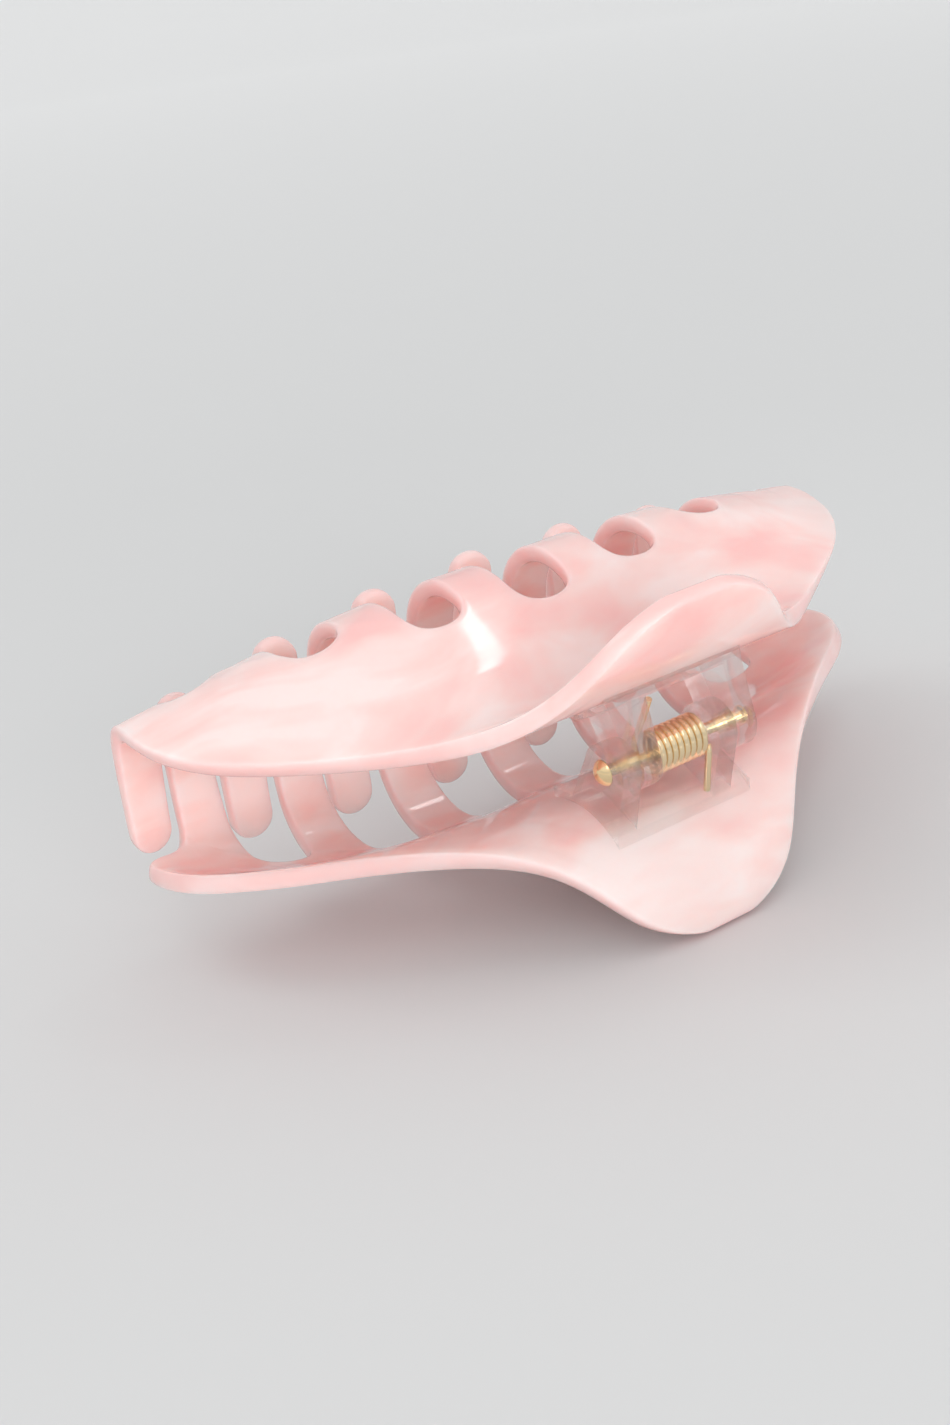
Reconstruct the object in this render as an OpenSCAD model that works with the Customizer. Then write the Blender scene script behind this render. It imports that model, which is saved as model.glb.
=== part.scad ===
// Large claw hair clip, closed, lying level.
// Two formed acetate jaws share one curved profile. The upper jaw has one prong more than the
// lower, so the prongs pass each other. A clear hinge plate is glued inside each jaw, a rivet joins
// the plates, and a torsion spring on the rivet holds the clip shut.
// X runs along the rivet, Y from the handles to the prongs, Z up. The origin is at the centre of
// the bottom of the closed clip.

/* [Jaws] */
// Overall length of the clip along the rivet
jaw_length = 125.2; // [112:0.2:140]
// Thickness of the acetate sheet
sheet = 2.6; // [2.2:0.1:2.8]
// Greatest width of the handle tongue
handle_w = 34.4; // [30:0.2:40]
// Length of the handle behind the waist, along the sheet
handle_len = 24.8; // [21:0.2:28]
// Height of the waist's mid surface from the rivet axis
waist_drop = 8.6; // [8.2:0.1:10]
// Distance of the waist in front of the rivet axis
waist_y = 7.5; // [7:0.1:8.6]
// Radius of the shoulder that falls away in front of the waist
shoulder_r = 23; // [20:1:30]
// Radius of the belly that turns the sheet toward the other jaw
belly_r = 11.4; // [10:0.2:14]
// Radius of the curl along the prongs
prong_r = 120; // [80:5:160]
// How far the jaw's long sides rise toward the other jaw
side_bow = 5.8; // [4.5:0.1:8]

/* [Prongs] */
// Prongs on the lower jaw; the upper jaw has one more
lower_prongs = 7; // [5:2:7]
// Width of a middle prong at its root
prong_root_w = 8.6; // [8:0.1:9.6]
// Width of a middle prong near its tip
prong_tip_w = 7; // [5.8:0.1:7.4]
// Place of the middle slot's root, along the sheet from the waist
slot_root = 19.4; // [18:0.1:21]
// Length of the longest prong, from the slot root
prong_len = 53.6; // [48:0.2:56]
// Length of a prong's rounded tip
tip_round = 3.1; // [2:0.1:3.6]
// Depth of the arch at a slot's root
arch_depth = 3.2; // [2.4:0.1:4]

/* [Hinge] */
// Diameter of the rivet's shank
pin_d = 1.8; // [1.6:0.1:2.2]
// Diameter of the rivet's domed head
pin_head_d = 3.9; // [3.4:0.1:4.4]
// Diameter of the rivet's flared tail
pin_tail_d = 2.7; // [2.5:0.1:3.2]
// Thickness of each ear
ear_t = 3.3; // [2.8:0.1:3.6]
// Radius of an ear's round top
ear_r = 4.1; // [3.7:0.1:4.5]

/* [Spring] */
// Diameter of the spring wire
wire_d = 1.04; // [0.9:0.02:1.1]
// Outer diameter of the coil
coil_d = 6.5; // [6:0.1:7]
// Turns in the coil
coil_turns = 8.5; // [6.5:1:8.5]

/* [Hidden] */

// Clearances
bore_clearance = 0.05;   // radial, rivet in an ear
ear_clearance = 0.35;    // between neighbouring ears
coil_clearance = 0.06;   // between the coil's ends and the ears
rivet_clearance = 0.05;  // under the rivet's head and tail
glue_line = 0.03;        // between a hinge plate and its jaw
leg_clearance = 0.04;    // between a spring leg and its plate

// Room along the rivet: the coil in the middle, two ears on each side of it
coil_gap = 0.02;         // between neighbouring turns
coil_pitch = wire_d + coil_gap;
coil_len = coil_turns * coil_pitch;
inner_ear_x = coil_len / 2 + wire_d / 2 + coil_clearance;
plate_half = inner_ear_x + 2 * ear_t + ear_clearance;

// Jaw profile, as [length, turn] runs of the sheet's mid surface each way from the waist. The last
// run each way goes on at its own curvature to the end of the sheet.
shoulder_turn = -29;
belly_turn = 111.5;
prong_turn = 10;
flank_len = 12;
neck_r = 11;
neck_turn = 44;
function arc_len(r, turn) = r * abs(turn) * PI / 180;
neck_len = arc_len(neck_r, neck_turn);
handle_r = 33;
front_runs = [[arc_len(shoulder_r, shoulder_turn), shoulder_turn], [flank_len, 0],
              [arc_len(belly_r, belly_turn), belly_turn], [arc_len(prong_r, prong_turn), prong_turn]];
rear_runs = [[neck_len, neck_turn],
             [handle_len - neck_len, (handle_len - neck_len) / handle_r * 180 / PI]];

// One step along an arc or a straight line, from [y, z, heading]
function arc_step(p, len, turn) = turn == 0
    ? [p[0] + len * cos(p[2]), p[1] + len * sin(p[2]), p[2]]
    : let (r = len / (turn * PI / 180), h = p[2] + turn)
      [p[0] + r * (sin(h) - sin(p[2])), p[1] - r * (cos(h) - cos(p[2])), h];
function walk(p, runs, s, i = 0) = i == len(runs) - 1 || s <= runs[i][0]
    ? arc_step(p, s, runs[i][1] * s / runs[i][0])
    : walk(arc_step(p, runs[i][0], runs[i][1]), runs, s - runs[i][0], i + 1);

// Lower jaw's mid surface in its middle plane: [y, z, heading] at s along the sheet, rivet at 0, 0
function profile(s) = s >= 0
    ? walk([waist_y, -waist_drop, 0], front_runs, s)
    : let (p = walk([waist_y, -waist_drop, 180], rear_runs, -s)) [p[0], p[1], p[2] - 180];

// Rounded ramp: 0 below, the distance above, with a parabolic fillet of half length r
function ramp(d, r) = d <= -r ? 0 : d >= r ? d : pow(d + r, 2) / (4 * r);
function smooth(t) = t <= 0 ? 0 : t >= 1 ? 1 : t * t * (3 - 2 * t);
function mix(a, b, t) = a + (b - a) * t;

// Outline: half width of the sheet at s
tongue_end = -handle_len;
tongue_round_len = 13.8;
tongue_widest = tongue_end + tongue_round_len;
waist_s = -11.5;
waist_fillet = 7;
side_slope = 1.36;
corner_slope = 1.37;
side_s = 46;
corner_fillet = 13;
corner_s = side_s - (handle_w / 2 + side_slope * (side_s - waist_s) - jaw_length / 2) / corner_slope;
function tongue(s) = s >= tongue_widest ? 1
    : sqrt(max(0, 1 - pow((tongue_widest - s) / (tongue_widest - tongue_end), 2)));
function half_width(s) = tongue(s) * min(jaw_length / 2,
    handle_w / 2 + side_slope * ramp(s - waist_s, waist_fillet)
    - corner_slope * ramp(s - corner_s, corner_fillet));

// The sides rise toward the other jaw, but the middle stays true where the hinge plate sits. The
// rise grows from the handle to the belly and then eases off along the prongs.
flat_margin = 0.9;
flat_half = plate_half + flat_margin;
bow_at = 51.2;
bow_start = -20;
bow_full = 28;
bow_eases = 26.5;
bow_ease_len = 20;
prong_bow = 1;
function bow(s) = side_bow * smooth((s - bow_start) / (bow_full - bow_start))
    - (side_bow - prong_bow) * smooth((s - bow_eases) / bow_ease_len);
function mid_surface(x, s) = let (p = profile(s))
    [x, p[0], p[1] + bow(s) * pow(max(0, abs(x) - flat_half) / (bow_at - flat_half), 2)];
probe = 0.01;
function inward(x, s) = let (n = cross(mid_surface(x + probe, s) - mid_surface(x - probe, s),
                                       mid_surface(x, s + probe) - mid_surface(x, s - probe)))
    n / norm(n);
function skin(x, s, depth) = mid_surface(x, s) + depth * inward(x, s);

// Prongs are counted in pitches from the middle: halves on the upper jaw, wholes on the lower
last_prong = lower_prongs / 2;
crowding = 0.05;
end_narrowing = 2.3;
end_scale = 1 - end_narrowing * crowding;
function spread(k) = pow(k / last_prong, 2);
pitch = (jaw_length / 2 - prong_tip_w * end_scale / 2) / (last_prong * (1 - crowding));
function prong_x(k) = pitch * k * (1 - crowding * spread(k));
root_rise = 21.8;
tip_fall = 9.5;
taper_power = 1.5;
function root_s(k) = slot_root + root_rise * spread(k);
function tip_s(k) = slot_root + prong_len - tip_fall * spread(k);
function prong_width(k, s) = let (t = max(0, min(1, (s - root_s(k)) / (tip_s(k) - root_s(k)))))
    mix(1, end_scale, spread(k)) * mix(prong_tip_w, prong_root_w, pow(1 - t, taper_power));

// Where the slot between two prongs has opened to its full width
function arch_s(m) = root_s(m) + arch_depth;

// A prong's edge, side -1 or 1, and the places across it, at across = 0 to 1. An end prong of the
// upper jaw stays inside the sheet's own side.
function edge_x(k, side, s) = side * min(side * prong_x(k) + prong_width(k, s) / 2, half_width(s));
function across_x(k, across, s) = mix(edge_x(k, -1, s), edge_x(k, 1, s), across);
function tip_curve(k, across) = tip_s(k) - tip_round * (1 - sqrt(max(0, 1 - pow(2 * across - 1, 2))));

// The lower jaw's corners bulge past its end prongs: a rounded lobe, then a fillet into the prong
lobe_r = 3.4;
corner_s1 = root_s(last_prong);
lobe_x = half_width(corner_s1) - lobe_r;
function corner_fillet_r(k) = lobe_x - edge_x(k, 1, corner_s1 + lobe_r);

// Each jaw is laid out in columns across the sheet. A column is [x, s], where it ends at a slot, at
// the lower jaw's corner or at the root of a prong, which then carries the column on to its tip.
prong_cells = 4;
arch_cells = 4;
lobe_cells = 3;
function fraction(i, cells) = (1 - cos(180 * i / cells)) / 2;
function prong_columns(k, left_s, right_s) =
    [for (i = [0 : prong_cells]) let (t = fraction(i, prong_cells), s = mix(left_s, right_s, t))
        [across_x(k, t, s), s]];
function arch_columns(k) = let (m = k + 0.5, left = edge_x(k, 1, arch_s(m)), right = edge_x(k + 1, -1, arch_s(m)))
    [for (i = [1 : arch_cells - 1]) let (a = 180 * i / arch_cells)
        [mix(left, right, fraction(i, arch_cells)), arch_s(m) - arch_depth * sin(a)]];
function corner_columns(k) = let (r = corner_fillet_r(k))
    concat([for (i = [0 : lobe_cells - 1]) let (a = 90 * i / lobe_cells)
               [half_width(corner_s1 - lobe_r * (1 - sin(a))) - lobe_r * (1 - cos(a)),
                corner_s1 - lobe_r * (1 - sin(a))]],
           [for (i = [0 : lobe_cells - 1]) let (a = 90 * i / lobe_cells)
               [lobe_x - r * sin(a), corner_s1 + r * (1 - cos(a))]]);
function flipped(list) = [for (i = [len(list) - 1 : -1 : 0]) [-list[i][0], list[i][1]]];

// The columns of a jaw whose prongs run from -last to last
function outer_s(last, corners) = corners ? corner_s1 + corner_fillet_r(last) : arch_s(last - 0.5);
function jaw_columns(last, corners) = concat(
    corners ? flipped([for (i = [2 * lobe_cells - 1 : -1 : 0]) corner_columns(last)[i]]) : [],
    [for (k = [-last : last]) each concat(
        prong_columns(k, k == -last ? outer_s(last, corners) : arch_s(k - 0.5),
                      k == last ? outer_s(last, corners) : arch_s(k + 0.5)),
        k == last ? [] : arch_columns(k))],
    corners ? [for (i = [2 * lobe_cells - 1 : -1 : 0]) corner_columns(last)[i]] : []);

// Rows of the solid sheet run from the handle's end to the columns' ends; prongs have their own
tongue_rows = 7;
body_rows = 14;
prong_rows = 14;
sheet_rows = tongue_rows + body_rows;
function row_s(i, end) = i < tongue_rows
    ? tongue_end + (tongue_widest - tongue_end) * (1 - cos(90 * (i + 1) / tongue_rows))
    : mix(tongue_widest, end, (i + 1 - tongue_rows) / body_rows);
// Columns are evenly spaced in the handle and reach their own places at their ends
function row_x(i, j, columns) = let (even = 2 * j / (len(columns) - 1) - 1, end = columns[j][1],
                                     own = columns[j][0] / half_width(end))
    half_width(row_s(i, end)) * mix(even, own, smooth((i + 1 - tongue_rows) / body_rows));
function jaw_layout(last, lead, columns) = concat(
    [for (i = [0 : sheet_rows - 1], j = [0 : len(columns) - 1])
        [row_x(i, j, columns), row_s(i, columns[j][1])]],
    [for (p = [0 : 2 * last], i = [1 : prong_rows], c = [0 : prong_cells])
        let (t = fraction(c, prong_cells), start = columns[lead + p * (prong_cells + arch_cells) + c][1],
             s = mix(start, tip_curve(p - last, t), i / prong_rows))
        [across_x(p - last, t, s), s]]);

// A jaw's faces: the inner and outer skins share one pattern of cells, and a wall follows its rim
module jaw_solid(last, lead, columns, skins) {
    nc = len(columns);
    n = len(skins) / 2;
    r = prong_rows;
    c = prong_cells;
    function at(i, j) = i * nc + j;
    function first(p) = lead + p * (prong_cells + arch_cells);
    function on_prong(p, i, j) = i == 0 ? at(sheet_rows - 1, first(p) + j)
        : sheet_rows * nc + (p * prong_rows + i - 1) * (prong_cells + 1) + j;
    cells = concat(
        [for (i = [0 : sheet_rows - 2], j = [0 : nc - 2])
            [at(i, j), at(i + 1, j), at(i + 1, j + 1), at(i, j + 1)]],
        [for (p = [0 : 2 * last], i = [0 : r - 1], j = [0 : c - 1])
            [on_prong(p, i, j), on_prong(p, i + 1, j), on_prong(p, i + 1, j + 1), on_prong(p, i, j + 1)]]);
    rim = concat(
        [for (i = [0 : 1 : sheet_rows - 2]) at(i, 0)],
        [for (j = [0 : 1 : lead - 1]) at(sheet_rows - 1, j)],
        [for (p = [0 : 2 * last]) each concat(
            [for (i = [0 : r]) on_prong(p, i, 0)],
            [for (j = [1 : c]) on_prong(p, r, j)],
            [for (i = [r - 1 : -1 : 0]) on_prong(p, i, c)],
            [for (j = [first(p) + c + 1 : 1 : p == 2 * last ? nc - 1 : first(p + 1) - 1])
                at(sheet_rows - 1, j)])],
        [for (i = [sheet_rows - 2 : -1 : 0]) at(i, nc - 1)],
        [for (j = [nc - 2 : -1 : 1]) at(0, j)]);
    faces = concat(
        [for (q = cells) each [[q[0], q[1], q[2]], [q[0], q[2], q[3]]]],
        [for (q = cells) each [[n + q[0], n + q[2], n + q[1]], [n + q[0], n + q[3], n + q[2]]]],
        [for (i = [0 : len(rim) - 1]) let (a = rim[i], b = rim[(i + 1) % len(rim)]) each [
            [a, n + a, n + b], [a, n + b, b]]]);
    polyhedron(skins, faces);
}
function both_skins(layout) = [for (d = [1, -1], p = layout) skin(p[0], p[1], d * sheet / 2)];
lower_last = (lower_prongs - 1) / 2;
lower_lead = 2 * lobe_cells;
lower_columns = jaw_columns(lower_last, true);
lower_skins = both_skins(jaw_layout(lower_last, lower_lead, lower_columns));
upper_last = lower_prongs / 2;
upper_columns = jaw_columns(upper_last, false);
upper_skins = both_skins(jaw_layout(upper_last, 0, upper_columns));

// Place of the rivet above the origin, from the reach of the closed jaws
function reach(axis, sign) = max([for (skins = [lower_skins, upper_skins], p = skins) sign * p[axis]]);
pin_z = reach(2, -1);
pin_y = (reach(1, -1) - reach(1, 1)) / 2;
module at_pin() {
    translate([0, pin_y, pin_z]) children();
}

module lower_jaw() {
    color([1, 0.78, 0.77]) at_pin() jaw_solid(lower_last, lower_lead, lower_columns, lower_skins);
}

module upper_jaw() {
    color([1, 0.78, 0.77]) at_pin() mirror([0, 0, 1])
        jaw_solid(upper_last, 0, upper_columns, upper_skins);
}

// Hinge plate: a wedge on the jaw's inner face and two ears. Both plates are the same moulding.
// The wedge's three upper corners are [y, z] from the rivet, each at its height from the waist.
plate_rear_y = -1.6;
plate_rear_rise = -0.8;
plate_crest_y = 5.5;
plate_crest_rise = 2.6;
plate_front_y = 12.6;
plate_front_rise = 2.2;
plate_rear = [plate_rear_y, plate_rear_rise - waist_drop];
plate_crest = [plate_crest_y, plate_crest_rise - waist_drop];
plate_front = [plate_front_y, plate_front_rise - waist_drop];
seat_steps = 12;
ear_front_y = 8.5;
foot_depth = 0.3;        // how far an ear's foot goes into the wedge
foot_rear = plate_rear - [0, foot_depth];
foot_crest = plate_crest - [0, foot_depth];
foot_front = [ear_front_y, plate_front[1] - foot_depth];
ear_meet = 0.98;         // flanks end just inside the ear's round top
bore_overrun = 1;        // how far a bore's cutter runs past the ear
round_sides = 64;
rear_slope = atan2(plate_crest[1] - plate_rear[1], plate_crest[0] - plate_rear[0]);
function tangent_point(p, r, side) = let (a = atan2(p[1], p[0]) + side * acos(r / norm(p)))
    ear_meet * r * [cos(a), sin(a)];
function seat_point(s) = let (p = skin(0, s, sheet / 2 + glue_line)) [p[1], p[2]];
// Where along the sheet the jaw's inner face has a given y, by halving the stretch under the plate
seat_stretch = [-12, 10];
seat_halvings = 24;
function seat_s(y, lo = seat_stretch[0], hi = seat_stretch[1], n = seat_halvings) = n == 0
    ? (lo + hi) / 2
    : let (m = (lo + hi) / 2) seat_point(m)[0] < y ? seat_s(y, m, hi, n - 1) : seat_s(y, lo, m, n - 1);
module along_x(x, len) {
    translate([x, 0, 0]) rotate([90, 0, 90]) linear_extrude(len) children();
}
module hinge_plate() {
    first = seat_s(plate_rear[0]);
    last = seat_s(plate_front[0]);
    along_x(-plate_half, 2 * plate_half)
        polygon(concat([plate_front, plate_crest, plate_rear],
                       [for (i = [0 : seat_steps]) seat_point(mix(first, last, i / seat_steps))]));
    for (x = [-plate_half, inner_ear_x])
        difference() {
            union() {
                along_x(x, ear_t) polygon([foot_rear, foot_crest, foot_front,
                                           tangent_point(foot_front, ear_r, 1), [0, 0],
                                           tangent_point(foot_rear, ear_r, -1)]);
                translate([x, 0, 0]) rotate([0, 90, 0]) cylinder(r = ear_r, h = ear_t, $fn = round_sides);
            }
            translate([x - bore_overrun, 0, 0]) rotate([0, 90, 0])
                cylinder(r = pin_d / 2 + bore_clearance, h = ear_t + 2 * bore_overrun,
                         $fn = round_sides);
        }
}

module lower_hinge_plate() {
    color([1, 0.92, 0.89, 0.6]) at_pin() hinge_plate();
}

module upper_hinge_plate() {
    color([1, 0.92, 0.89, 0.6]) at_pin() rotate([0, 180, 0]) hinge_plate();
}

// Rivet: a domed head, the shank and a flared tail
head_h = 1.3;
tail_h = 0.8;
flare_h = 0.2;
dome_r = (pow(pin_head_d / 2, 2) + pow(head_h, 2)) / (2 * head_h);
module hinge_pin() {
    dome_steps = 10;
    dome_half = asin(pin_head_d / 2 / dome_r);
    seat = plate_half + rivet_clearance;
    color([0.86, 0.72, 0.47]) at_pin() rotate([0, 90, 0]) rotate_extrude($fn = round_sides)
        polygon(concat([for (i = [0 : dome_steps]) let (a = dome_half * i / dome_steps)
                            [dome_r * sin(a), -seat - head_h + dome_r * (1 - cos(a))]],
                       [[pin_d / 2, -seat], [pin_d / 2, seat], [pin_tail_d / 2, seat + flare_h],
                        [pin_tail_d / 2, seat + tail_h], [0, seat + tail_h]]));
}

// Spring: the wire comes down the lower leg, round the coil and up the upper leg
coil_r = (coil_d - wire_d) / 2;
near_angle = 30;
far_angle = near_angle - coil_turns * 360;
wire_sides = 8;
turn_steps = 14;
leg_rear = 0.5;
leg_lean = 0.3;
leg_end_y = plate_rear[0] + leg_rear;
leg_end_z = plate_rear[1] + leg_rear * tan(rear_slope) + (wire_d / 2 + leg_clearance) / cos(rear_slope);
function on_coil(t) = let (a = mix(near_angle, far_angle, t))
    [mix(-coil_len / 2, coil_len / 2, t), coil_r * cos(a), coil_r * sin(a)];
coil_steps = round(coil_turns * turn_steps);
spring_path = concat(
    [[leg_lean - coil_len / 2, leg_end_y, -leg_end_z]],
    [for (i = [0 : coil_steps]) on_coil(i / coil_steps)],
    [[coil_len / 2, leg_end_y, leg_end_z]]);
function unit(v) = v / norm(v);
function heading(path, i) = unit(path[min(i + 1, len(path) - 1)] - path[max(i - 1, 0)]);
// A ring of the wire: x is across the coil, so the frame never flips
function ring(path, i) = let (d = heading(path, i), u = unit(cross(d, [1, 0, 0])), v = cross(u, d))
    [for (j = [0 : wire_sides - 1]) let (a = 360 * j / wire_sides)
        path[i] + wire_d / 2 * (u * cos(a) + v * sin(a))];
module torsion_spring() {
    last = len(spring_path) - 1;
    n = wire_sides;
    points = [for (i = [0 : last]) each ring(spring_path, i)];
    faces = concat([[for (j = [0 : n - 1]) j]],
                   [for (i = [0 : last - 1], j = [0 : n - 1]) let (k = (j + 1) % n) each [
                       [i * n + j, (i + 1) * n + j, (i + 1) * n + k],
                       [i * n + j, (i + 1) * n + k, i * n + k]]],
                   [[for (j = [n - 1 : -1 : 0]) last * n + j]]);
    color([0.88, 0.78, 0.58]) at_pin() polyhedron(points, faces);
}

lower_jaw();
upper_jaw();
lower_hinge_plate();
upper_hinge_plate();
hinge_pin();
torsion_spring();
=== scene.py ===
# %% [markdown]
# # A claw clip of marbled acetate
#
# The clip is two curved jaws cut from a thick sheet of cellulose acetate, bent over a hot former
# and tumbled until every edge is round and glossy. A clear hinge plate is glued inside each jaw,
# a rivet runs through both plates, and a coil spring on the rivet holds the clip shut.
#
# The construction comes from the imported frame. This script finishes it: rounder jaws, marbled
# colour, clear plastic, pale gold, light and a camera.

# %% Load the frame
import math

import bmesh
import bpy
import numpy as np
from mathutils import Matrix, Vector


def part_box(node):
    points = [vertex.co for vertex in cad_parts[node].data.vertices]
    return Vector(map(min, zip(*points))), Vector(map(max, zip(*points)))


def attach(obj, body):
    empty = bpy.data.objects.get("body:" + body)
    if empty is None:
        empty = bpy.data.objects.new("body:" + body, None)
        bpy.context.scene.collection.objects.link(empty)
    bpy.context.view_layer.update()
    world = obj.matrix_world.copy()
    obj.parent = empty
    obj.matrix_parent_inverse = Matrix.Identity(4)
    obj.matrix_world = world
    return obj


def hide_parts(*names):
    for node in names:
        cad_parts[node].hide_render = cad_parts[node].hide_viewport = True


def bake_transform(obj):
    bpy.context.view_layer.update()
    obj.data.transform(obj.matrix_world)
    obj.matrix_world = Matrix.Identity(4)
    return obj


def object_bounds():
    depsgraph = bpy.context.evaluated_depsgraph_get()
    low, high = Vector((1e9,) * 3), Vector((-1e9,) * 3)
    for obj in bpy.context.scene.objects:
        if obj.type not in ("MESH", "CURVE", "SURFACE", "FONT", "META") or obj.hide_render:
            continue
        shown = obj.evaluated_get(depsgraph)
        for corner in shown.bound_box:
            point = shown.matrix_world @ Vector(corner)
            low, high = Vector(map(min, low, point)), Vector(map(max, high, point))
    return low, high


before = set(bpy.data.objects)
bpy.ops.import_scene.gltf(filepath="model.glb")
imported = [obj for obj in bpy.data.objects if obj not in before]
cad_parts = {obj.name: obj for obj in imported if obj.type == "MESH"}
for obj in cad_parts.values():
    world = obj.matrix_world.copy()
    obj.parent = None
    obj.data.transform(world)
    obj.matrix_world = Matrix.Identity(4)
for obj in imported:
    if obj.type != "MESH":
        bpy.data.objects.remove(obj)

scene = bpy.context.scene
MM = 0.001
cad_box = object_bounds()
pin_low, pin_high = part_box("hinge_pin")
rivet = Vector((0, (pin_low.y + pin_high.y) / 2, (pin_low.z + pin_high.z) / 2))
print("rivet axis at", [round(c / MM, 2) for c in rivet], "mm")

# %% [markdown]
# ## Camera
#
# A clip this size is usually seen from close by, a little above and to one side, with a normal
# lens. The camera is turned slightly about its own line of sight, so that the clip lies at an
# angle in the frame. Its right, up and back directions make the columns of its matrix.

# %% Camera
AZIMUTH, ELEVATION, ROLL = -31.4, 23.7, 7.8
CAMERA_FROM_RIVET = Vector((-146.3, -188.9, 112.9)) * MM
LENS = 48
SENSOR_HEIGHT = 36
NEAREST_SEEN = 0.01


def camera_axes(azimuth, elevation, roll):
    """Right, up and back directions of a camera that looks along +Y at azimuth 0."""
    a, e = math.radians(azimuth), math.radians(elevation)
    back = Vector((math.sin(a) * math.cos(e), -math.cos(a) * math.cos(e), math.sin(e)))
    right = Vector((0, 0, 1)).cross(back).normalized()
    turn = Matrix.Rotation(-math.radians(roll), 3, back)
    return turn @ right, turn @ back.cross(right), back


camera_data = bpy.data.cameras.new("camera")
camera_data.lens = LENS
camera_data.sensor_fit = "VERTICAL"
camera_data.sensor_height = SENSOR_HEIGHT
camera_data.clip_start = NEAREST_SEEN
camera = bpy.data.objects.new("camera", camera_data)
scene.collection.objects.link(camera)
axes = Matrix(camera_axes(AZIMUTH, ELEVATION, ROLL)).transposed()
camera.matrix_world = Matrix.Translation(rivet + CAMERA_FROM_RIVET) @ axes.to_4x4()
scene.camera = camera
print("camera at", [round(c, 3) for c in camera.matrix_world.translation], "m")

# %% [markdown]
# ## Light
#
# Glossy plastic shows its surroundings, so the lamps are large and soft. The world gives an even
# pale fill. A key lamp on the camera's side, a small strip overhead and a soft lamp behind leave
# the bright patches that tell the eye how the jaws curve. The widest lamp stands low in front and
# lights the sides and the space between the jaws. Reflections leave it out, so that its straight
# edges don't show in the gloss.

# %% World and lamps
WORLD_LEVEL = 0.93
scene.view_settings.view_transform = "Standard"
world = bpy.data.worlds.new("studio")
world.use_nodes = True
world.node_tree.nodes["Background"].inputs["Color"].default_value = (1, 1, 1, 1)
world.node_tree.nodes["Background"].inputs["Strength"].default_value = WORLD_LEVEL
scene.world = world


def softbox(name, place, aim, width, height, watts):
    """A rectangular lamp at place, pointing at aim, both in metres from the rivet."""
    data = bpy.data.lights.new(name, "AREA")
    data.shape = "RECTANGLE"
    data.size, data.size_y = width, height
    data.energy = watts
    lamp = bpy.data.objects.new(name, data)
    scene.collection.objects.link(lamp)
    lamp.location = rivet + Vector(place)
    lamp.rotation_euler = (Vector(aim) - Vector(place)).to_track_quat("-Z", "Y").to_euler()
    return lamp


softbox("key", (-0.9, -1.1, 1.9), (0, 0, 0), 0.65, 0.85, 3.2)
softbox("overhead", (0.92, 0.24, 1.74), (0, 0, 0), 0.26, 0.085, 0.5)
softbox("back", (-0.8, 0.9, 1.6), (0, 0, 0), 0.8, 0.8, 4)
front = softbox("front", (-0.5, -1.5, 0.25), (0, 0, 0), 1.4, 1.0, 25)
front.visible_glossy = False

# %% [markdown]
# ## Floor
#
# A seamless sheet of pale card: flat under the clip and turned up all round in a wide curve, so
# that no edge shows from any side. The lamps reach its far parts less, so the card glows a little
# there, which keeps the background even. Only the camera, reflections and the view through clear
# plastic see the glow, so it adds no diffuse light to the clip.

# %% Floor
FLOOR_FLAT = 1.6
FLOOR_CURVE = 1.0
CURVE_STEPS = 12
CARD_COLOUR = (0.595, 0.60, 0.602)
FAR_GLOW = 0.3
GLOW_STARTS, GLOW_FULL = 0.25, 1.5


def lathe(name, outline, steps, axis="Z"):
    """A closed-round mesh from an outline of (radius, along) points, in the outline's own unit."""
    mesh = bpy.data.meshes.new(name)
    build = bmesh.new()
    rings = []
    for radius, along in outline:
        count = 1 if radius == 0 else steps
        ring = []
        for i in range(count):
            a = 2 * math.pi * i / steps
            across, up = radius * math.cos(a), radius * math.sin(a)
            place = (across, up, along) if axis == "Z" else (along, across, up)
            ring.append(build.verts.new(place))
        rings.append(ring)
    for one, two in zip(rings, rings[1:]):
        for i in range(steps):
            j = (i + 1) % steps
            corners = [one[i % len(one)], one[j % len(one)], two[j % len(two)], two[i % len(two)]]
            build.faces.new(list(dict.fromkeys(corners)))
    bmesh.ops.recalc_face_normals(build, faces=build.faces)
    build.to_mesh(mesh)
    build.free()
    mesh.polygons.foreach_set("use_smooth", [True] * len(mesh.polygons))
    piece = bpy.data.objects.new(name, mesh)
    scene.collection.objects.link(piece)
    return piece


floor_outline = [(0, 0), (FLOOR_FLAT, 0)]
for i in range(1, CURVE_STEPS + 1):
    a = math.radians(90 * i / CURVE_STEPS)
    floor_outline.append((FLOOR_FLAT + FLOOR_CURVE * math.sin(a), FLOOR_CURVE * (1 - math.cos(a))))
floor = lathe("floor", floor_outline, 96)
floor.location.z = cad_box[0][2]
card = bpy.data.materials.new("pale_card")
card.use_nodes = True
card_shader = card.node_tree.nodes["Principled BSDF"]
card_shader.inputs["Base Color"].default_value = (*CARD_COLOUR, 1)
card_shader.inputs["Roughness"].default_value = 0.85
card_shader.inputs["Specular IOR Level"].default_value = 0.2
card_shader.inputs["Emission Color"].default_value = (*CARD_COLOUR, 1)
nodes, links = card.node_tree.nodes, card.node_tree.links
coords = nodes.new("ShaderNodeTexCoord")
away = nodes.new("ShaderNodeVectorMath")
away.operation = "LENGTH"
far = nodes.new("ShaderNodeMapRange")
far.inputs["From Min"].default_value = GLOW_STARTS
far.inputs["From Max"].default_value = GLOW_FULL
far.inputs["To Max"].default_value = FAR_GLOW
ray = nodes.new("ShaderNodeLightPath")
mirrored = nodes.new("ShaderNodeMath")
mirrored.operation = "MAXIMUM"
watched = nodes.new("ShaderNodeMath")
watched.operation = "MAXIMUM"
seen = nodes.new("ShaderNodeMath")
seen.operation = "MULTIPLY"
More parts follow.
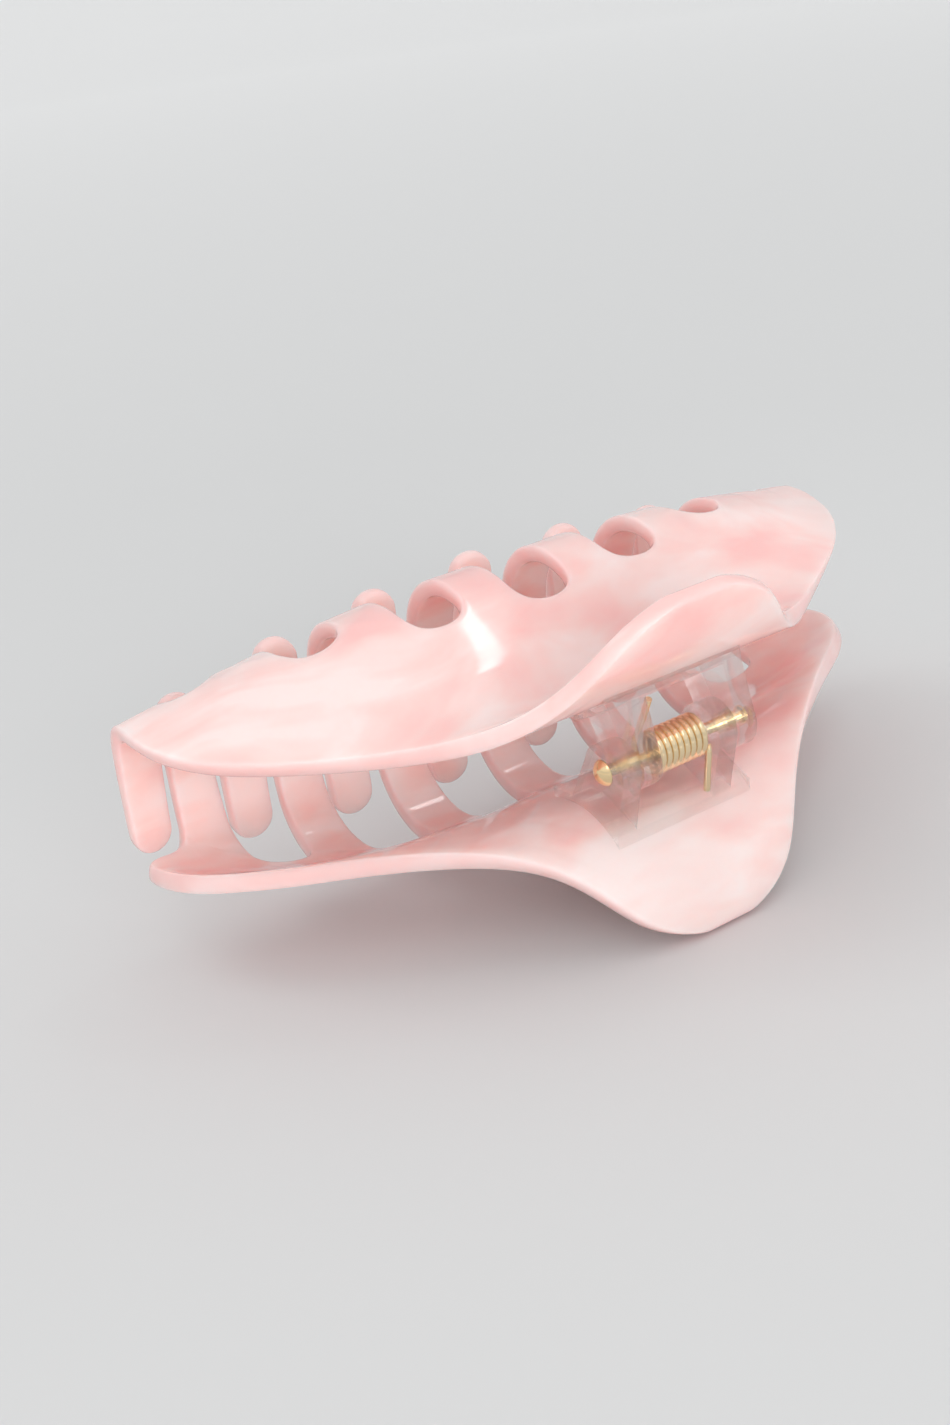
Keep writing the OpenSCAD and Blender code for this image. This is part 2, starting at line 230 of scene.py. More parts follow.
links.new(coords.outputs["Object"], away.inputs[0])
links.new(away.outputs["Value"], far.inputs["Value"])
links.new(far.outputs["Result"], seen.inputs[0])
links.new(ray.outputs["Is Glossy Ray"], mirrored.inputs[0])
links.new(ray.outputs["Is Transmission Ray"], mirrored.inputs[1])
links.new(ray.outputs["Is Camera Ray"], watched.inputs[0])
links.new(mirrored.outputs["Value"], watched.inputs[1])
links.new(watched.outputs["Value"], seen.inputs[1])
links.new(seen.outputs["Value"], card_shader.inputs["Emission Strength"])
floor.data.materials.append(card)

# %% [markdown]
# ## The jaw's shape
#
# Both jaws are the same bent sheet. In the clip's middle plane its mid surface is a chain of arcs:
# from the waist at the hinge, backwards over a neck into the handle, and forwards over a shoulder
# into the belly and the long curl of the prongs. Away from the middle the sheet rises toward the
# other jaw. A place on it is given as x, across the clip, and s, the distance along the sheet from
# the waist. These are the sizes that the construction uses, in millimetres. Only the length is
# 0.1 mm less, which keeps the finished jaws just inside the construction's own box.

# %% Sizes of the jaws
JAW_LENGTH = 125.1
SHEET = 2.6
HANDLE_WIDTH = 34.4
HANDLE_LENGTH = 24.8
WAIST_DROP, WAIST_Y = 8.6, 7.5
SHOULDER_R, SHOULDER_TURN = 23, -29
FLANK_LENGTH = 12
BELLY_R, BELLY_TURN = 11.4, 111.5
PRONG_R, PRONG_TURN = 120, 10
NECK_R, NECK_TURN = 11, 44
HANDLE_R = 33
SIDE_BOW, PRONG_BOW = 5.8, 1
BOW_START, BOW_FULL = -20, 28
BOW_EASES, BOW_EASE_LENGTH = 26.5, 20
FLAT_MARGIN, BOW_AT = 0.9, 51.2
FLAT_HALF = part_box("lower_hinge_plate")[1].x / MM + FLAT_MARGIN
LOWER_PRONGS = 7
PRONG_ROOT_WIDTH, PRONG_TIP_WIDTH = 8.6, 7
SLOT_ROOT, ROOT_RISE = 19.4, 21.8
PRONG_LENGTH, TIP_FALL = 53.6, 9.5
TIP_ROUND, ARCH_DEPTH = 3.1, 3.2
LOBE_R = 3.4

# %% Profile in the middle plane


def arc_length(radius, turn):
    return radius * abs(math.radians(turn))


neck_length = arc_length(NECK_R, NECK_TURN)
front_runs = [(arc_length(SHOULDER_R, SHOULDER_TURN), SHOULDER_TURN), (FLANK_LENGTH, 0),
              (arc_length(BELLY_R, BELLY_TURN), BELLY_TURN),
              (arc_length(PRONG_R, PRONG_TURN), PRONG_TURN)]
rear_runs = [(neck_length, NECK_TURN),
             (HANDLE_LENGTH - neck_length, math.degrees((HANDLE_LENGTH - neck_length) / HANDLE_R))]


def step_along(y, z, heading, length, turn):
    """Where one arc or straight run ends, and which way it then points, in degrees."""
    h = math.radians(heading)
    if turn == 0:
        return y + length * math.cos(h), z + length * math.sin(h), heading
    radius, g = length / math.radians(turn), math.radians(heading + turn)
    return (y + radius * (math.sin(g) - math.sin(h)), z - radius * (math.cos(g) - math.cos(h)),
            heading + turn)


def walk(heading, runs, s):
    """Follows the runs from the waist for a distance s; the last one goes on for ever."""
    place = (WAIST_Y, -WAIST_DROP, heading)
    for i, (length, turn) in enumerate(runs):
        if s <= length or i == len(runs) - 1:
            return step_along(*place, s, turn * s / length)
        place = step_along(*place, length, turn)
        s -= length


def profile(s):
    y, z, _ = walk(0, front_runs, s) if s >= 0 else walk(180, rear_runs, -s)
    return y, z


# %% Outline and sides


def smooth(t):
    t = min(1, max(0, t))
    return t * t * (3 - 2 * t)


def mix(a, b, t):
    return a + (b - a) * t


def ramp(d, r):
    """0 below, the distance above, with a soft bend between them."""
    return 0 if d <= -r else d if d >= r else (d + r) ** 2 / (4 * r)


TONGUE_END = -HANDLE_LENGTH
TONGUE_ROUND = 13.8
TONGUE_WIDEST = TONGUE_END + TONGUE_ROUND
SIDE_SLOPE, CORNER_SLOPE = 1.36, 1.37
SIDE_S, WAIST_S = 46, -11.5
WAIST_EASE, CORNER_EASE = 7, 13
CORNER_S = SIDE_S - (HANDLE_WIDTH / 2 + SIDE_SLOPE * (SIDE_S - WAIST_S)
                     - JAW_LENGTH / 2) / CORNER_SLOPE


def half_width(s):
    tongue = 1
    if s < TONGUE_WIDEST:
        tongue = math.sqrt(max(0, 1 - ((TONGUE_WIDEST - s) / (TONGUE_WIDEST - TONGUE_END)) ** 2))
    flare = (SIDE_SLOPE * ramp(s - WAIST_S, WAIST_EASE)
             - CORNER_SLOPE * ramp(s - CORNER_S, CORNER_EASE))
    return tongue * min(JAW_LENGTH / 2, HANDLE_WIDTH / 2 + flare)


def mid_surface(x, s):
    """A place on the lower jaw's mid surface, from the rivet's axis."""
    y, z = profile(s)
    bow = (SIDE_BOW * smooth((s - BOW_START) / (BOW_FULL - BOW_START))
           - (SIDE_BOW - PRONG_BOW) * smooth((s - BOW_EASES) / BOW_EASE_LENGTH))
    return np.array((x, y, z + bow * (max(0, abs(x) - FLAT_HALF) / (BOW_AT - FLAT_HALF)) ** 2))


def skin(x, s, depth):
    probe = 0.01
    across = mid_surface(x + probe, s) - mid_surface(x - probe, s)
    along = mid_surface(x, s + probe) - mid_surface(x, s - probe)
    inward = np.cross(across, along)
    return mid_surface(x, s) + depth * inward / np.linalg.norm(inward)


# %% [markdown]
# ## Prongs
#
# Slots are milled into the sheet before it is bent, so prongs and slots are drawn on the flat
# sheet. The upper jaw has one prong more than the lower, and each stands in the other's gaps.
# Prongs are counted in pitches from the middle: wholes on the lower jaw, halves on the upper.
# The outer prongs are narrower, start farther out and are shorter.

# %% Prong layout
LAST_PRONG = LOWER_PRONGS / 2
CROWDING = 0.05
END_NARROWING = 2.3
TAPER_POWER = 1.5
END_SCALE = 1 - END_NARROWING * CROWDING
PITCH = (JAW_LENGTH / 2 - PRONG_TIP_WIDTH * END_SCALE / 2) / (LAST_PRONG * (1 - CROWDING))


def spread(k):
    return (k / LAST_PRONG) ** 2


def prong_x(k):
    return PITCH * k * (1 - CROWDING * spread(k))


def root_s(k):
    return SLOT_ROOT + ROOT_RISE * spread(k)


def tip_s(k):
    return SLOT_ROOT + PRONG_LENGTH - TIP_FALL * spread(k)


def prong_width(k, s):
    t = min(1, max(0, (s - root_s(k)) / (tip_s(k) - root_s(k))))
    even = mix(PRONG_TIP_WIDTH, PRONG_ROOT_WIDTH, (1 - t) ** TAPER_POWER)
    return mix(1, END_SCALE, spread(k)) * even


def edge_x(k, side, s):
    return side * min(side * prong_x(k) + prong_width(k, s) / 2, half_width(s))


def arch_s(m):
    return root_s(m) + ARCH_DEPTH


def tip_curve(k, across):
    return tip_s(k) - TIP_ROUND * (1 - math.sqrt(max(0, 1 - (2 * across - 1) ** 2)))


# %% [markdown]
# ## A cage for each jaw
#
# The jaw is laid out in columns of cells that run from the handle to the slots, and on down the
# prongs. Every slot, tip and corner is followed by a row of narrow cells. The Subdivision Surface
# modifier then turns the square rim into the soft round that tumbling gives, while the broad
# faces keep their curve. A value on each point says how near the rim it is, for the colour.

# %% Columns across a jaw
PRONG_ANGLES = (0, 35, 62, 90, 118, 145, 180)
ARCH_CELLS = 6
LOBE_CELLS = 4
RIM_CELL = 1.2
PRONG_CELLS = len(PRONG_ANGLES) - 1
across_prong = [(1 - math.cos(math.radians(a))) / 2 for a in PRONG_ANGLES]
corner_s1 = root_s(LAST_PRONG)
lobe_x = half_width(corner_s1) - LOBE_R


def corner_fillet(k):
    return lobe_x - edge_x(k, 1, corner_s1 + LOBE_R)


def corner_columns(k):
    """The lower jaw's corner, from its outer side to the end prong: a lobe, then a fillet."""
    columns = []
    for i in range(LOBE_CELLS):
        a = math.radians(90 * i / LOBE_CELLS)
        s = corner_s1 - LOBE_R * (1 - math.sin(a))
        columns.append((half_width(s) - LOBE_R * (1 - math.cos(a)), s))
    for i in range(LOBE_CELLS):
        a, r = math.radians(90 * i / LOBE_CELLS), corner_fillet(k)
        columns.append((lobe_x - r * math.sin(a), corner_s1 + r * (1 - math.cos(a))))
    return columns


def jaw_columns(last, corners):
    """Each column as (x, s) where it ends, and the prongs as [(k, number of first column)]."""
    outer = corner_s1 + corner_fillet(last) if corners else arch_s(last - 0.5)
    columns = [(-x, s) for x, s in corner_columns(last)] if corners else []
    prongs = []
    for n in range(int(2 * last) + 1):
        k = n - last
        left = outer if k == -last else arch_s(k - 0.5)
        right = outer if k == last else arch_s(k + 0.5)
        prongs.append((k, len(columns)))
        for t in across_prong:
            s = mix(left, right, t)
            columns.append((mix(edge_x(k, -1, s), edge_x(k, 1, s), t), s))
        if k == last:
            break
        m = k + 0.5
        ends = edge_x(k, 1, arch_s(m)), edge_x(k + 1, -1, arch_s(m))
        for i in range(1, ARCH_CELLS):
            a = math.pi * i / ARCH_CELLS
            s = arch_s(m) - ARCH_DEPTH * math.sin(a)
            columns.append((mix(*ends, (1 - math.cos(a)) / 2), s))
    if corners:
        columns += corner_columns(last)[::-1]
    return columns, prongs


# %% Rows from the handle to the tips
TONGUE_ROWS = 7
BODY_ROWS = 12
PRONG_ROWS = 13
sheet_rows = TONGUE_ROWS + BODY_ROWS + 1


def row_s(i, end):
    if i < TONGUE_ROWS:
        turn = math.radians(90 * (i + 1) / TONGUE_ROWS)
        return TONGUE_END + (TONGUE_WIDEST - TONGUE_END) * (1 - math.cos(turn))
    if i == sheet_rows - 1:
        return end
    return mix(TONGUE_WIDEST, end - RIM_CELL, (i + 1 - TONGUE_ROWS) / BODY_ROWS)


def row_x(i, j, columns):
    """Columns are even in the handle, but for a narrow one at each side, and drift to their own
    places at their ends."""
    x, end = columns[j]
    wide = half_width(row_s(i, end))
    count = len(columns) - 1
    even = (wide - RIM_CELL) * (2 * (j - 1) / (count - 2) - 1)
    if j in (0, count):
        even = wide * (2 * j / count - 1)
    own = wide * x / half_width(end)
    return mix(even, own, smooth((i + 1 - TONGUE_ROWS) / BODY_ROWS))


def jaw_cage(last, corners):
    """Points on the flat sheet, cells between them, and the rim that goes round them all."""
    columns, prongs = jaw_columns(last, corners)
    count = len(columns)
    points = [(row_x(i, j, columns), row_s(i, columns[j][1]))
              for i in range(sheet_rows) for j in range(count)]
    cells = [(i * count + j, (i + 1) * count + j, (i + 1) * count + j + 1, i * count + j + 1)
             for i in range(sheet_rows - 1) for j in range(count - 1)]
    base = (sheet_rows - 1) * count
    rim = [i * count for i in range(sheet_rows - 1)] + [base + j for j in range(prongs[0][1])]
    for n, (k, first) in enumerate(prongs):
        rows = [[base + first + c for c in range(PRONG_CELLS + 1)]]
        for i in range(1, PRONG_ROWS + 2):
            row = []
            for c, t in enumerate(across_prong):
                start, tip = columns[first + c][1], tip_curve(k, t)
                s = tip if i > PRONG_ROWS else mix(start, tip - RIM_CELL, i / PRONG_ROWS)
                row.append(len(points))
                points.append((mix(edge_x(k, -1, s), edge_x(k, 1, s), t), s))
            cells += [(rows[-1][c], row[c], row[c + 1], rows[-1][c + 1])
                      for c in range(PRONG_CELLS)]
            rows.append(row)
        rim += [row[0] for row in rows] + rows[-1][1:-1] + [row[-1] for row in reversed(rows)]
        stop = prongs[n + 1][1] if n + 1 < len(prongs) else count
        rim += [base + j for j in range(first + PRONG_CELLS + 1, stop)]
    rim += [i * count - 1 for i in range(sheet_rows - 1, 0, -1)]
    rim += list(range(count - 2, 0, -1))
    return points, cells, rim


# %% Build the jaws


def make_jaw(name, last, corners, up):
    points, cells, rim = jaw_cage(last, corners)
    n = len(points)
    skins = [skin(x, s, d * SHEET / 2) * (1, 1, -up) for d in (1, -1) for x, s in points]
    faces = cells + [tuple(n + i for i in reversed(c)) for c in cells]
    faces += [(a, n + a, n + b, b) for a, b in zip(rim, rim[1:] + rim[:1])]
    if up < 0:
        faces = [tuple(reversed(f)) for f in faces]
    mesh = bpy.data.meshes.new(name)
    mesh.from_pydata([tuple(rivet + Vector(p) * MM) for p in skins], [], faces)
    near_rim = np.zeros(2 * n, np.float32)
    near_rim[rim] = 1
    near_rim[np.array(rim) + n] = 1
    mesh.attributes.new("rim", "FLOAT", "POINT").data.foreach_set("value", near_rim)
    mesh.polygons.foreach_set("use_smooth", [True] * len(mesh.polygons))
    mesh.validate()
    jaw = bpy.data.objects.new(name, mesh)
    scene.collection.objects.link(jaw)
    rounding = jaw.modifiers.new("tumbled_edges", "SUBSURF")
    rounding.levels = rounding.render_levels = 2
    print(name, "has", len(mesh.polygons), "cage faces")
    return jaw


lower = make_jaw("lower_jaw_acetate", (LOWER_PRONGS - 1) / 2, True, -1)
upper = make_jaw("upper_jaw_acetate", LAST_PRONG, False, 1)
for jaw, body, node in ((lower, "lower", "lower_jaw"), (upper, "upper", "upper_jaw")):
    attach(jaw, body)
    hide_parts(node)

# %% [markdown]
# ## Small scratches
#
# Everything that is handled picks up a faint haze of fine scratches and fingerprints, which shows
# as uneven gloss. Plastic and metal share one node group for it: a cloudy mask broken up by fine
# noise, with its own scale and amount in each material.

# %% Node group for handling haze


def new_group(name, inputs, outputs):
    group = bpy.data.node_groups.new(name, "ShaderNodeTree")
    for socket, default in inputs:
        made = group.interface.new_socket(socket, in_out="INPUT", socket_type="NodeSocketFloat")
        made.default_value = default
    for socket in outputs:
        group.interface.new_socket(socket, in_out="OUTPUT", socket_type="NodeSocketFloat")
    return group, group.nodes.new("NodeGroupInput"), group.nodes.new("NodeGroupOutput")


def link(tree, source, target):
    tree.links.new(source, target)


haze, haze_in, haze_out = new_group("handling_haze", [("Scale", 60), ("Low", 0.05), ("High", 0.16)],
                                    ["Roughness", "Height"])
place = haze.nodes.new("ShaderNodeTexCoord")
cloud = haze.nodes.new("ShaderNodeTexNoise")
fine = haze.nodes.new("ShaderNodeTexNoise")
cloud.inputs["Detail"].default_value = 3
fine.inputs["Detail"].default_value = 6
finer_scale = haze.nodes.new("ShaderNodeMath")
finer_scale.operation = "MULTIPLY"
finer_scale.inputs[1].default_value = 14
blend_noise = haze.nodes.new("ShaderNodeMath")
blend_noise.operation = "MULTIPLY"
spread_out = haze.nodes.new("ShaderNodeMapRange")
spread_out.inputs["From Min"].default_value = 0.15
spread_out.inputs["From Max"].default_value = 0.38
link(haze, place.outputs["Object"], cloud.inputs["Vector"])
link(haze, place.outputs["Object"], fine.inputs["Vector"])
link(haze, haze_in.outputs["Scale"], cloud.inputs["Scale"])
link(haze, haze_in.outputs["Scale"], finer_scale.inputs[0])
link(haze, finer_scale.outputs[0], fine.inputs["Scale"])
link(haze, cloud.outputs["Fac"], blend_noise.inputs[0])
link(haze, fine.outputs["Fac"], blend_noise.inputs[1])
link(haze, blend_noise.outputs[0], spread_out.inputs["Value"])
link(haze, haze_in.outputs["Low"], spread_out.inputs["To Min"])
link(haze, haze_in.outputs["High"], spread_out.inputs["To Max"])
link(haze, spread_out.outputs["Result"], haze_out.inputs["Roughness"])
link(haze, cloud.outputs["Fac"], haze_out.inputs["Height"])


def add_haze(tree, shader, scale, low, high):
    node = tree.nodes.new("ShaderNodeGroup")
    node.node_tree = haze
    node.inputs["Scale"].default_value = scale
    node.inputs["Low"].default_value = low
    node.inputs["High"].default_value = high
    link(tree, node.outputs["Roughness"], shader.inputs["Roughness"])
    return node


def new_material(name):
    material = bpy.data.materials.new(name)
    material.use_nodes = True
    return material, material.node_tree, material.node_tree.nodes["Principled BSDF"]


# %% [markdown]
# ## Marbled acetate
#
# Acetate sheet is made by pressing blocks of differently coloured paste together and slicing the
# result, so the pattern is a set of soft swirls that run right through. A noise texture bends the
# coordinates of a second one, which gives the drawn-out swirls. Near the rim light has a longer
# way through the sheet, so the colour there is deeper. The sheet lets light in: subsurface
# scattering makes it glow softly instead of looking painted.

# %% Acetate material
MILK = (1.0, 0.685, 0.665, 1)
BLUSH = (1.0, 0.59, 0.565, 1)
ROSE = (1.0, 0.50, 0.485, 1)
RIM_ROSE = (1.0, 0.47, 0.46, 1)
ACETATE_IOR = 1.49
STREAK_STRETCH, STREAK_TURN = (0.55, 1, 1.1), (0.3, 0.2, 0.5)
BEND_SCALE, BEND_PUSH = 34, 0.035
SWIRL_SCALE = 92
MILK_AT, BLUSH_AT, ROSE_AT = 0.37, 0.52, 0.67
RIM_STARTS, RIM_DEPTH = 0.15, 0.5
GLOW_RADIUS, GLOW_SCALE = (1.0, 0.7, 0.65), 0.008


def acetate():
    material, tree, shader = new_material("pink_acetate")
    coords = tree.nodes.new("ShaderNodeTexCoord")
    stretch = tree.nodes.new("ShaderNodeMapping")
    stretch.inputs["Scale"].default_value = STREAK_STRETCH
    stretch.inputs["Rotation"].default_value = STREAK_TURN
    bend = tree.nodes.new("ShaderNodeTexNoise")
    bend.inputs["Scale"].default_value = BEND_SCALE
    bend.inputs["Detail"].default_value = 2
    push = tree.nodes.new("ShaderNodeVectorMath")
    push.operation = "MULTIPLY_ADD"
    push.inputs[1].default_value = (BEND_PUSH, BEND_PUSH, BEND_PUSH)
    swirl = tree.nodes.new("ShaderNodeTexNoise")
    swirl.inputs["Scale"].default_value = SWIRL_SCALE
    swirl.inputs["Detail"].default_value = 3
    swirl.inputs["Roughness"].default_value = 0.45
    colours = tree.nodes.new("ShaderNodeValToRGB")
    ramp_points = colours.color_ramp.elements
    ramp_points[0].position, ramp_points[0].color = MILK_AT, MILK
    ramp_points[1].position, ramp_points[1].color = ROSE_AT, ROSE
    middle = ramp_points.new(BLUSH_AT)
    middle.color = BLUSH
    rim = tree.nodes.new("ShaderNodeAttribute")
    rim.attribute_name = "rim"
    rim_depth = tree.nodes.new("ShaderNodeMapRange")
    rim_depth.inputs["From Min"].default_value = RIM_STARTS
    rim_depth.inputs["To Max"].default_value = RIM_DEPTH
    deepen = tree.nodes.new("ShaderNodeMix")
    deepen.data_type = "RGBA"
    deepen.inputs["B"].default_value = RIM_ROSE
    link(tree, coords.outputs["Object"], stretch.inputs["Vector"])
    link(tree, stretch.outputs["Vector"], bend.inputs["Vector"])
    link(tree, bend.outputs["Color"], push.inputs[0])
    link(tree, stretch.outputs["Vector"], push.inputs[2])
    link(tree, push.outputs["Vector"], swirl.inputs["Vector"])
    link(tree, swirl.outputs["Fac"], colours.inputs["Fac"])
    link(tree, rim.outputs["Fac"], rim_depth.inputs["Value"])
    link(tree, rim_depth.outputs["Result"], deepen.inputs["Factor"])
    link(tree, colours.outputs["Color"], deepen.inputs["A"])
    link(tree, deepen.outputs["Result"], shader.inputs["Base Color"])
    add_haze(tree, shader, 45, 0.03, 0.09)
    shader.inputs["IOR"].default_value = ACETATE_IOR
    shader.inputs["Subsurface Weight"].default_value = 1
    shader.inputs["Subsurface Radius"].default_value = GLOW_RADIUS
    shader.inputs["Subsurface Scale"].default_value = GLOW_SCALE
    shader.inputs["Transmission Weight"].default_value = 0.1
    return material


pink = acetate()
lower.data.materials.append(pink)
upper.data.materials.append(pink)

# %% [markdown]
# ## Hinge plates
#
# The plates are injection moulded in clear plastic, with small radii on every edge. The frame's
# solids have the right shape, so a merged copy of each gets a bevel for the radii and a clear
# material with a faint warm tint. Full transmission alone bends and darkens what lies behind, so
# an alpha below 1 lets part of the view straight through, as a thin clear wall does.

# %% Hinge plates
CLEAR_TINT = (1, 0.95, 0.93, 1)
CLEAR_IOR, CLEAR_ALPHA = 1.49, 0.38
WELD = 0.005
MOULD_RADIUS = 0.25


def clear_plastic():
    material, tree, shader = new_material("clear_plastic")
    shader.inputs["Base Color"].default_value = CLEAR_TINT
    shader.inputs["IOR"].default_value = CLEAR_IOR
    shader.inputs["Transmission Weight"].default_value = 1
    shader.inputs["Alpha"].default_value = CLEAR_ALPHA
    add_haze(tree, shader, 90, 0.03, 0.08)
    return material


clear = clear_plastic()


def make_plate(body):
    node = body + "_hinge_plate"
    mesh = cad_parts[node].data.copy()
    mesh.name = body + "_plate_clear"
    build = bmesh.new()
    build.from_mesh(mesh)
    bmesh.ops.remove_doubles(build, verts=build.verts, dist=WELD * MM)
    bmesh.ops.dissolve_limit(build, angle_limit=math.radians(1), verts=build.verts,
                             edges=build.edges)
    build.to_mesh(mesh)
    build.free()
    mesh.materials.clear()
    mesh.materials.append(clear)
    plate = bpy.data.objects.new(body + "_plate_clear", mesh)
    scene.collection.objects.link(plate)
    edges = plate.modifiers.new("moulded_edges", "BEVEL")
    edges.width = MOULD_RADIUS * MM
    edges.segments = 2
    edges.angle_limit = math.radians(35)
    edges.use_clamp_overlap = True
    mesh.polygons.foreach_set("use_smooth", [True] * len(mesh.polygons))
    shading = plate.modifiers.new("flat_faces", "WEIGHTED_NORMAL")
    shading.keep_sharp = True
    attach(plate, body)
    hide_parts(node)
    print(plate.name, len(mesh.vertices), "points before its bevel")
    return plate


for body in ("lower", "upper"):
    make_plate(body)

# %% [markdown]
# ## Pale gold
#
# The rivet and the spring are brass and steel with a thin pale gold plate. A metal's colour is
# its reflection, so the shader is fully metallic and its gloss carries the finish.

# %% Gold material


def gold(name, colour, low, high):
    material, tree, shader = new_material(name)
    shader.inputs["Metallic"].default_value = 1
    tint = tree.nodes.new("ShaderNodeMix")
    tint.data_type = "RGBA"
    tint.inputs["A"].default_value = colour
    tint.inputs["B"].default_value = tuple(c * 0.82 for c in colour[:3]) + (1,)
    node = add_haze(tree, shader, 220, low, high)
    link(tree, node.outputs["Height"], tint.inputs["Factor"])
    link(tree, tint.outputs["Result"], shader.inputs["Base Color"])
    return material


rivet_gold = gold("rivet_gold", (0.98, 0.76, 0.44, 1), 0.08, 0.22)
spring_gold = gold("spring_gold", (0.96, 0.77, 0.5, 1), 0.07, 0.2)

# %% [markdown]
# ## Rivet
#
# The rivet is a headed pin: a domed head on one side and, on the other, a tail that is flared
# with a punch once the pin is through both plates. A turned shape like this is a lathe outline.

# %% Rivet
PIN_R, HEAD_R, HEAD_H = 0.9, 1.95, 1.3
TAIL_R, TAIL_H = 1.35, 0.8


def rivet_outline():
    """Radius and place along X in millimetres, from the top of the head to the end of the tail."""
    head_top, tail_end = pin_low.x / MM, pin_high.x / MM
    dome_r = (HEAD_R ** 2 + HEAD_H ** 2) / (2 * HEAD_H)
    half = math.asin(HEAD_R / dome_r)
    outline = [(dome_r * math.sin(half * i / 14), head_top + dome_r * (1 - math.cos(half * i / 14)))
               for i in range(15)]
    seat = head_top + HEAD_H
    outline += [(HEAD_R - 0.08, seat), (PIN_R + 0.05, seat), (PIN_R, seat + 0.05),
                (PIN_R, tail_end - TAIL_H - 0.05), (PIN_R + 0.1, tail_end - TAIL_H + 0.02)]
    for i in range(9):
        a = math.radians(-60 + 150 * i / 8)
        outline.append((TAIL_R - 0.35 + 0.35 * math.cos(a), tail_end - 0.37 + 0.35 * math.sin(a)))
    return outline + [(0.62, tail_end - 0.1), (0.4, tail_end - 0.45), (0, tail_end - 0.5)]


pin = lathe("rivet_pin", rivet_outline(), 64, axis="X")
pin.data.transform(Matrix.Translation((0, rivet.y, rivet.z)) @ Matrix.Scale(MM, 4))
pin.data.materials.append(rivet_gold)
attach(pin, "lower")
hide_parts("hinge_pin")

# %% [markdown]
# ## Spring
#
# A torsion spring is wound from hard wire, with a straight leg at each end that presses on the
# hinge plates. Geometry Nodes sweep a round wire along a line of points: the line is worked out
# with the coil's own formula, and the wire's radius is an input. When the clip opens, one leg
# turns with each jaw and the coil winds up between them.

# %% Spring path
WIRE_D, COIL_D, COIL_TURNS = 1.04, 6.5, 8.5
COIL_GAP = 0.02
COIL_LENGTH = COIL_TURNS * (WIRE_D + COIL_GAP)
COIL_R = (COIL_D - WIRE_D) / 2
NEAR_ANGLE = 30
LEG_LEAN, LEG_STEPS = 0.3, 6
LEG_REAR, LEG_CLEARANCE = 0.5, 0.04
STEPS_PER_TURN = 28
WIRE_SIDES = 16
plate_rear = (-1.6, -WAIST_DROP - 0.8)
plate_crest = (5.5, -WAIST_DROP + 2.6)
rear_slope = math.atan2(plate_crest[1] - plate_rear[1], plate_crest[0] - plate_rear[0])
leg_y = plate_rear[0] + LEG_REAR
leg_z = (plate_rear[1] + LEG_REAR * math.tan(rear_slope)
         + (WIRE_D / 2 + LEG_CLEARANCE) / math.cos(rear_slope))


def spring_points():
    coil = []
    count = round(COIL_TURNS * STEPS_PER_TURN)
    for i in range(count + 1):
        a = math.radians(NEAR_ANGLE - 360 * COIL_TURNS * i / count)
        coil.append((mix(-COIL_LENGTH / 2, COIL_LENGTH / 2, i / count),
                     COIL_R * math.cos(a), COIL_R * math.sin(a)))
    near = (LEG_LEAN - COIL_LENGTH / 2, leg_y, -leg_z)
    far = (COIL_LENGTH / 2, leg_y, leg_z)
    first = [tuple(mix(p, q, i / LEG_STEPS) for p, q in zip(near, coil[0]))
             for i in range(LEG_STEPS)]
    last = [tuple(mix(p, q, i / LEG_STEPS) for p, q in zip(coil[-1], far))
            for i in range(1, LEG_STEPS + 1)]
    return first + coil + last


# %% Wire by Geometry Nodes


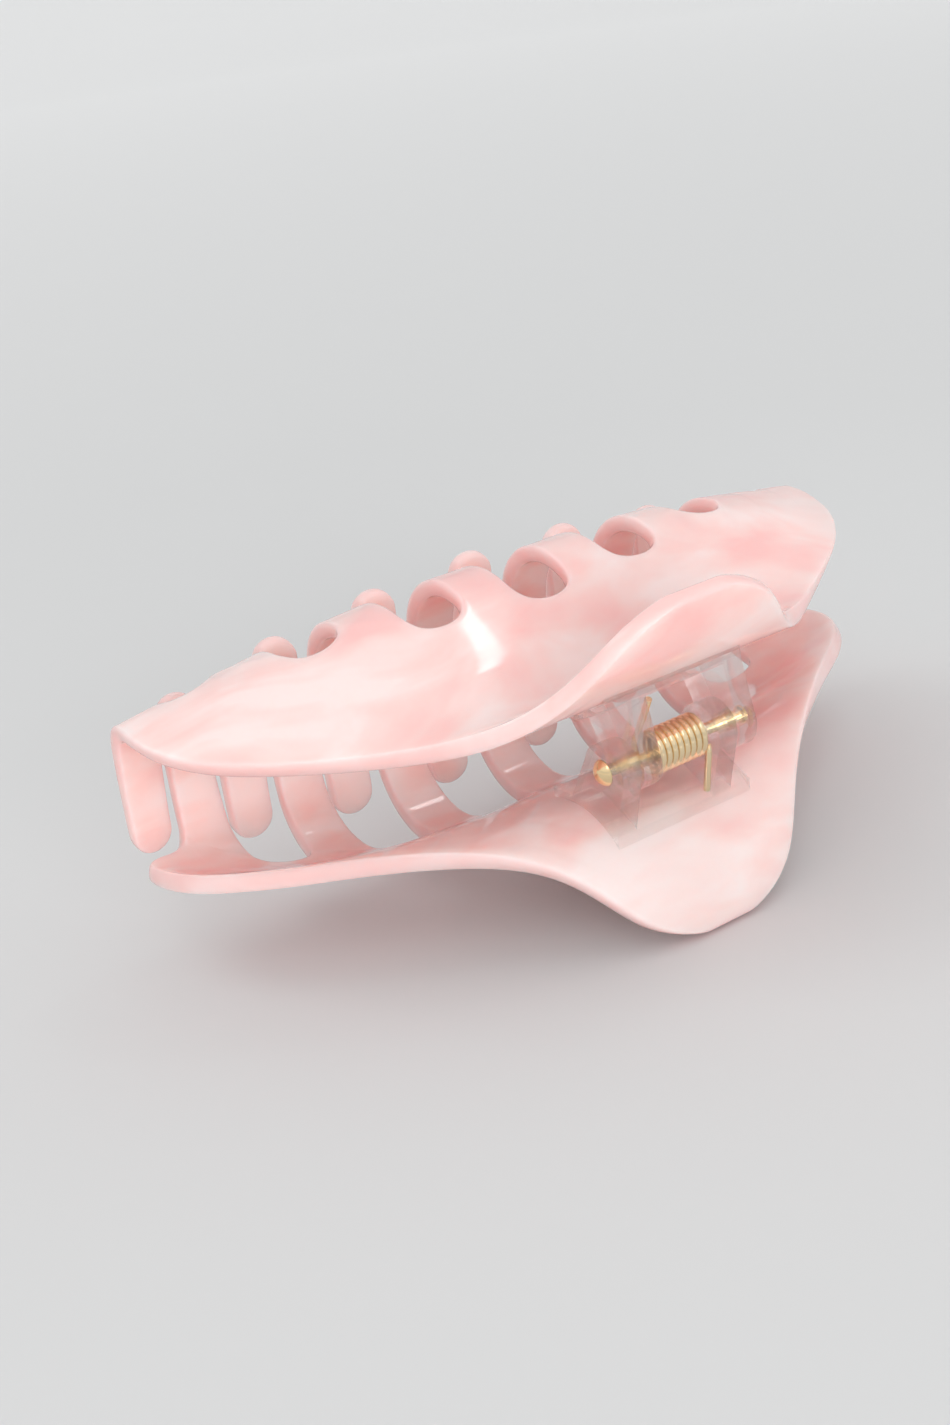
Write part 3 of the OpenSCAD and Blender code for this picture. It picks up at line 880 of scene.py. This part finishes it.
def wire_tree(material):
    tree = bpy.data.node_groups.new("wire_along_line", "GeometryNodeTree")
    face = tree.interface
    face.new_socket("Geometry", in_out="INPUT", socket_type="NodeSocketGeometry")
    radius = face.new_socket("Wire radius", in_out="INPUT", socket_type="NodeSocketFloat")
    sides = face.new_socket("Sides", in_out="INPUT", socket_type="NodeSocketInt")
    face.new_socket("Geometry", in_out="OUTPUT", socket_type="NodeSocketGeometry")
    start, end = tree.nodes.new("NodeGroupInput"), tree.nodes.new("NodeGroupOutput")
    line = tree.nodes.new("GeometryNodeMeshToCurve")
    ring = tree.nodes.new("GeometryNodeCurvePrimitiveCircle")
    sweep = tree.nodes.new("GeometryNodeCurveToMesh")
    sweep.inputs["Fill Caps"].default_value = True
    shade = tree.nodes.new("GeometryNodeSetShadeSmooth")
    real = tree.nodes.new("GeometryNodeRealizeInstances")
    paint = tree.nodes.new("GeometryNodeSetMaterial")
    paint.inputs["Material"].default_value = material
    tree.links.new(start.outputs["Geometry"], line.inputs["Mesh"])
    tree.links.new(start.outputs["Wire radius"], ring.inputs["Radius"])
    tree.links.new(start.outputs["Sides"], ring.inputs["Resolution"])
    tree.links.new(line.outputs["Curve"], sweep.inputs["Curve"])
    tree.links.new(ring.outputs["Curve"], sweep.inputs["Profile Curve"])
    tree.links.new(sweep.outputs["Mesh"], shade.inputs["Geometry"])
    tree.links.new(shade.outputs["Geometry"], real.inputs["Geometry"])
    tree.links.new(real.outputs["Geometry"], paint.inputs["Geometry"])
    tree.links.new(paint.outputs["Geometry"], end.inputs["Geometry"])
    return tree, radius.identifier, sides.identifier


def make_spring():
    points = [tuple(rivet + Vector(p) * MM) for p in spring_points()]
    mesh = bpy.data.meshes.new("spring_line")
    mesh.from_pydata(points, [(i, i + 1) for i in range(len(points) - 1)], [])
    line = bpy.data.objects.new("spring_line", mesh)
    scene.collection.objects.link(line)
    wire = line.modifiers.new("wire", "NODES")
    tree, radius_id, sides_id = wire_tree(spring_gold)
    wire.node_group = tree
    wire[radius_id] = WIRE_D / 2 * MM
    wire[sides_id] = WIRE_SIDES
    evaluated = line.evaluated_get(bpy.context.evaluated_depsgraph_get())
    finished = bpy.data.meshes.new_from_object(evaluated)
    bpy.data.objects.remove(line)
    build = bmesh.new()
    build.from_mesh(finished)
    bmesh.ops.recalc_face_normals(build, faces=build.faces)
    build.to_mesh(finished)
    build.free()
    finished.name = "torsion_spring_wire"
    piece = bpy.data.objects.new("torsion_spring_wire", finished)
    scene.collection.objects.link(piece)
    print("spring has", len(finished.polygons), "faces")
    return piece


spring = make_spring()
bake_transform(spring)
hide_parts("torsion_spring")

# %% Update the scene
bpy.context.view_layer.update()
